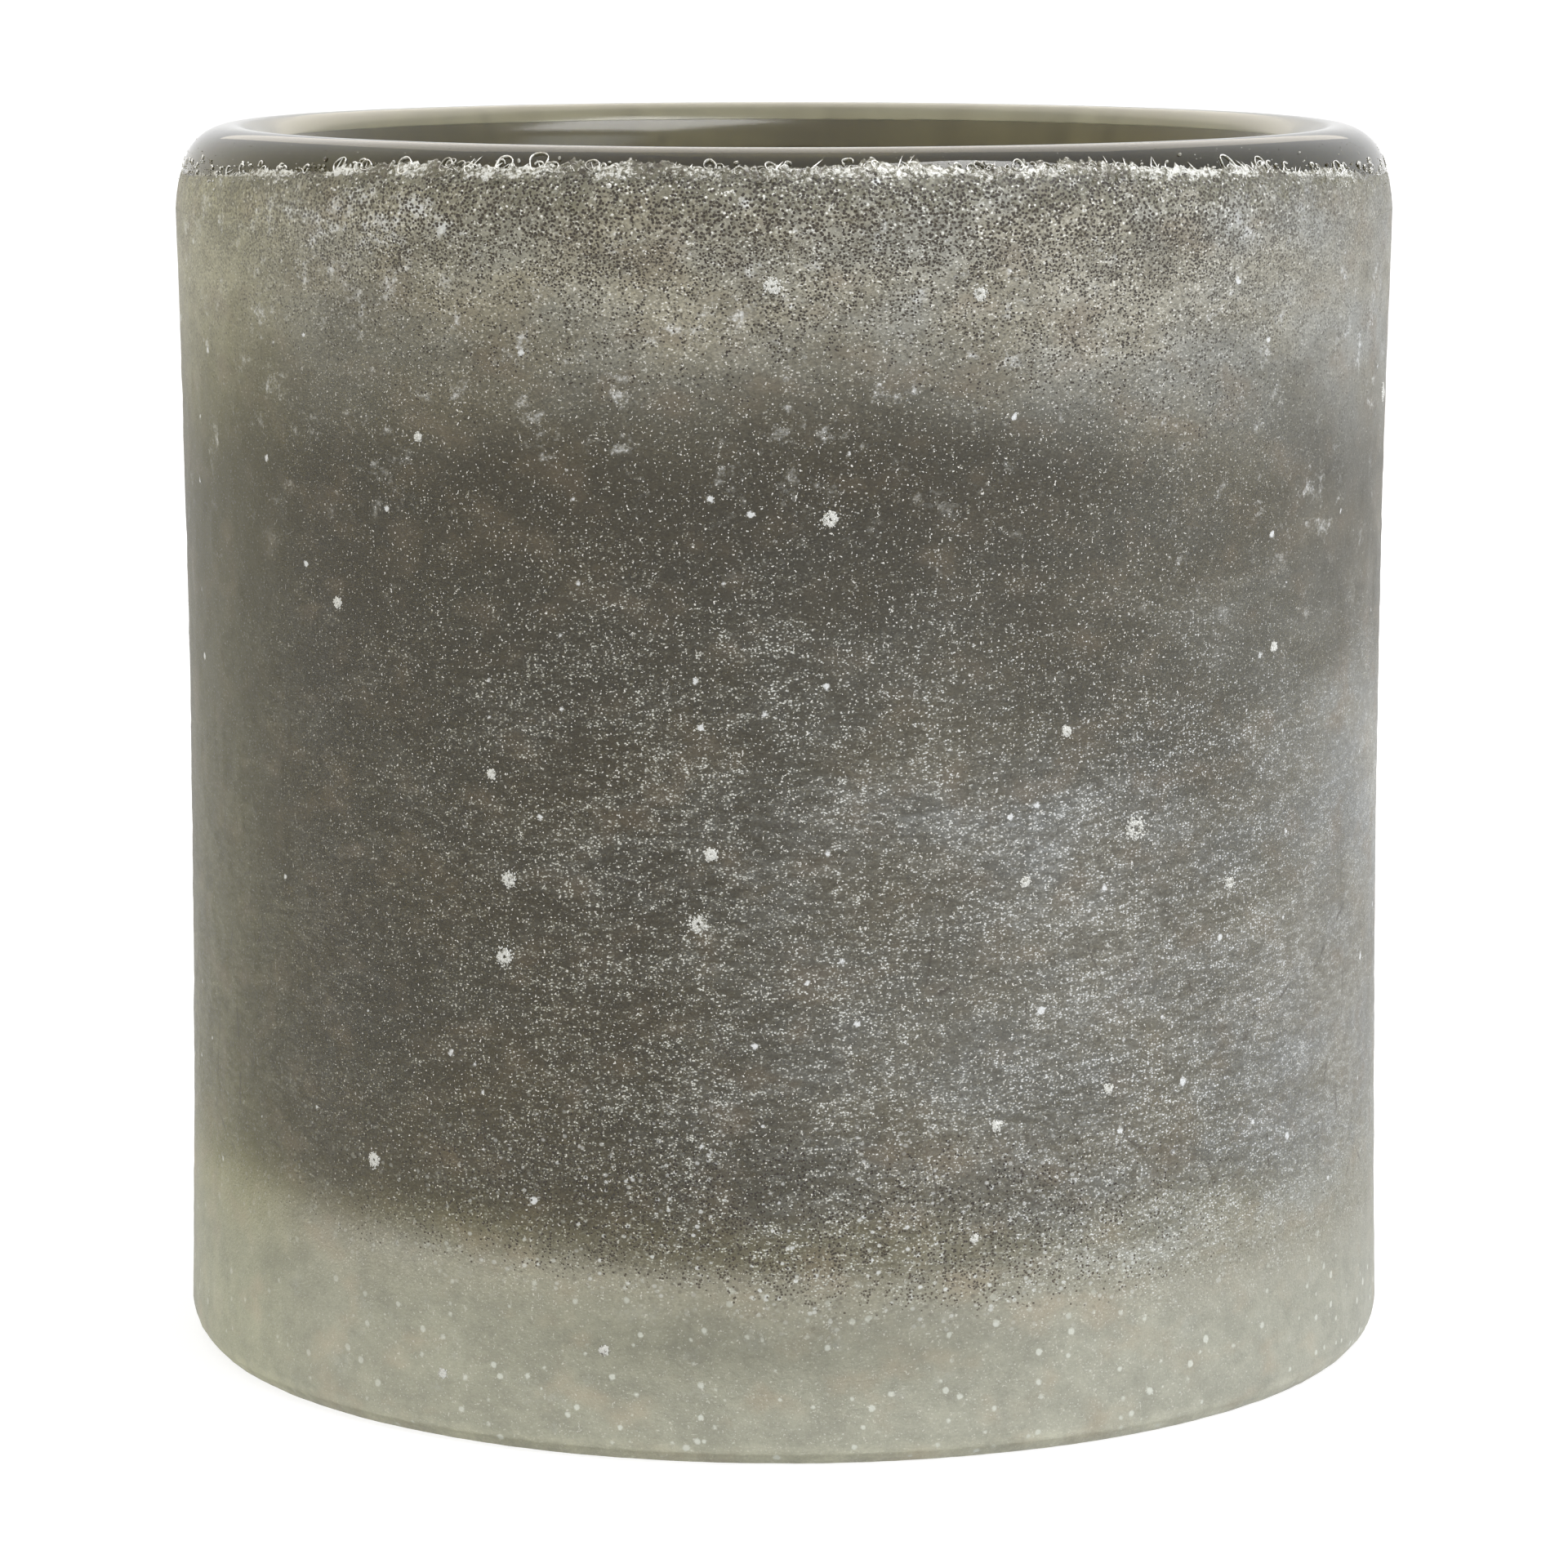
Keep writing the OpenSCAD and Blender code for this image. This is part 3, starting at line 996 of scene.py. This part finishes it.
def fringe():
    """Foam along the edge of the frost: a crust, burst bubbles, torn strands, lumps and droplets."""
    rng = np.random.default_rng(5)
    heap = Heap()
    foam_sheet(heap)
    for azimuth, rise, radius in BIG_BUBBLES:
        ring_on_lip(heap, rng, azimuth, (rise + 0.7) * MM, radius * MM)
    for k in range(260):
        azimuth = rng.uniform(0, 360)
        radius = rng.uniform(0.2, 0.6) * MM
        rise = rng.normal(0.9, 0.45) * MM
        start = rng.uniform(-40, 60)
        ring_on_lip(heap, rng, azimuth, rise, radius, start, rng.uniform(110, 330))
    for k in range(300):
        azimuth = rng.uniform(0, 360)
        rough = calm(math.sin(math.radians(azimuth)))
        low = rng.uniform(0.1, 1.0) * rough
        high = low + (rng.gamma(2.4, 0.34) + 0.3) * rough
        lean = rng.normal(0, 0.5)
        bend = rng.normal(0, 0.3)
        path = []
        outward = []
        for t in np.linspace(0, 1, 5):
            turned_to = azimuth + lean * t + bend * t * t
            place, axes = on_lip(turned_to, (low + (high - low) * t) * MM, 0.10 * MM)
            path.append(place)
            outward.append(axes[2])
        thin = np.linspace(rng.uniform(0.10, 0.24), 0.02, 5) * MM * rough
        heap.tube(path, np.array(outward), thin, thin, sides=5)
    for k in range(1500):
        rise = rng.normal(0.2, 0.8) * MM
        cover = FROST_T * (1 - 0.75 * min(1, 1 + rise / LIP_R / EDGE) ** 2) if rise < 0 else 0.15 * MM
        place, axes = on_lip(rng.uniform(0, 360), rise, cover * rng.uniform(0.7, 1.0))
        size = rng.uniform(0.10, 0.34) * MM * calm(place[0] / OUTER_R)
        heap.blob(place, axes, size * rng.uniform(0.6, 1.3, 3), GRAIN)
    for k in range(300):
        place, axes = on_lip(rng.uniform(0, 360), rng.uniform(1.5, 4.6) * MM)
        heap.blob(place, axes, [rng.uniform(0.03, 0.08) * MM] * 3, GRAIN)
    dress(heap.finish("bubble_foam"), "bubble_fringe", [FOAM])


# White blisters on the wall: azimuth in degrees, height and size in mm.
BLISTERS = (
    (33, 72, 1.6), (4, 109, 1.0), (-7.5, 63, 1.2), (-25.5, 58, 1.2), (-25, 67, 0.9), (-44, 97, 0.7),
    (-6.4, 71, 0.8), (-26.7, 79, 0.5), (-33.9, 117, 0.5), (30.2, 42, 0.6), (19.1, 39, 0.6),
    (-16, 13, 0.6), (-32, 8, 0.6), (17, 26, 0.5), (21.7, 67, 0.6), (44.5, 64, 0.7), (50.5, 91, 0.6),
    (25.6, 84, 0.6), (-1, 135, 1.0), (17, 134, 0.8), (-40, 32, 1.0), (78, 118, 1.1), (104, 48, 1.3),
    (131, 88, 0.9), (166, 61, 1.2), (-155, 104, 1.0), (-128, 39, 1.1), (-97, 76, 0.9),
)


def blisters():
    """Clusters of white grains round small burst bubbles."""
    rng = np.random.default_rng(11)
    heap = Heap()
    for azimuth, z, size in BLISTERS:
        for k in range(200):
            away = abs(rng.normal(0, 0.36)) * size + 0.28 * size
            turn = rng.uniform(0, 2 * math.pi)
            step = math.degrees(away * math.cos(turn) * MM / OUTER_R)
            place, axes = on_wall(azimuth + step, (z + away * math.sin(turn)) * MM, 0.0)
            grain = rng.uniform(0.07, 0.22) * MM / (0.7 + 0.5 * away / size)
            heap.blob(place, axes, grain * rng.uniform(0.7, 1.2, 3), GRAIN)
    dress(heap.finish("blister_grains"), None, [BLISTER])


casing()
lining()
frosted_wall()
collar()
fringe()
blisters()


# ---------------------------------------------------------------- stage, light and camera
def floor():
    """Plain pale paper. It glows a little, so that the vase casts hardly any shadow on it."""
    far = 16.0
    corners = [(-far, -far, 0), (far, -far, 0), (far, far, 0), (-far, far, 0)]
    piece = link_mesh("floor", corners, [(0, 1, 2, 3)])
    shader = Shader("floor_paper")
    fibre = shader.noise(3, 3.0)
    shader.set(Base_Color=shader.mix(fibre, rgb(0.24, 0.24, 0.24), rgb(0.26, 0.26, 0.26)), Roughness=0.9)
    shader.set(Emission_Color=rgb(1, 1, 1), Emission_Strength=0.80)
    piece.data.materials.append(shader.material)


def softbox(name, direction, distance, size, radiance, colour=(1, 1, 1)):
    """A square light aimed at the lip."""
    light = bpy.data.lights.new(name, "AREA")
    light.size = size
    light.energy = radiance * math.pi * size * size
    light.color = colour
    lamp = bpy.data.objects.new(name, light)
    away = np.array(direction) / np.linalg.norm(direction)
    lamp.location = away * distance + np.array([0, 0, HEIGHT])
    back = lamp.location.copy()
    back.z -= HEIGHT
    lamp.rotation_euler = back.to_track_quat("Z", "Y").to_euler()
    bpy.context.scene.collection.objects.link(lamp)


WARM = rgb(1.0, 0.94, 0.76)
WHITE = rgb(1.0, 1.0, 1.0)
COOL = rgb(0.96, 0.98, 1.0)


def daylight(strength):
    """White light from all round, a little warm from the left and cool from the right."""
    world = bpy.data.worlds.new("studio")
    world.use_nodes = True
    tree = world.node_tree
    background = tree.nodes["Background"]
    background.inputs["Strength"].default_value = strength
    direction = tree.nodes.new("ShaderNodeTexCoord").outputs["Generated"]
    axes = tree.nodes.new("ShaderNodeSeparateXYZ")
    share = tree.nodes.new("ShaderNodeMapRange")
    share.inputs["From Min"].default_value = -1
    ramp = tree.nodes.new("ShaderNodeValToRGB")
    ramp.color_ramp.elements[0].color = WARM
    ramp.color_ramp.elements[1].color = COOL
    ramp.color_ramp.elements.new(0.4).color = WHITE
    ramp.color_ramp.elements.new(0.6).color = WHITE
    tree.links.new(direction, axes.inputs[0])
    tree.links.new(axes.outputs["X"], share.inputs["Value"])
    tree.links.new(share.outputs["Result"], ramp.inputs["Fac"])
    tree.links.new(ramp.outputs["Color"], background.inputs["Color"])
    bpy.context.scene.world = world


def camera():
    """The photograph's point of view: a little above the lip, looking 9 degrees down."""
    data = bpy.data.cameras.new("camera")
    data.lens = 127.6
    data.sensor_width = 36
    data.clip_start = 0.01
    data.clip_end = 60
    eye = bpy.data.objects.new("camera", data)
    eye.location = (0, -0.6908, 0.178)
    eye.rotation_euler = (math.radians(90 - 9.11), 0, 0)
    bpy.context.scene.collection.objects.link(eye)
    bpy.context.scene.camera = eye


floor()
daylight(1.06)
softbox("overhead", (0.38, -0.23, 0.90), 1.2, 0.72, 7)
softbox("key", (0.80, -0.60, 0.35), 1.4, 0.7, 2.0, (0.93, 0.97, 1.0))
softbox("backlight", (0.0, 0.85, 0.55), 1.6, 1.1, 0.8, (1.0, 0.90, 0.74))
camera()
scene = bpy.context.scene
scene.view_settings.view_transform = "Standard"
scene.cycles.max_bounces = 24
scene.cycles.transmission_bounces = 24
scene.cycles.transparent_max_bounces = 32
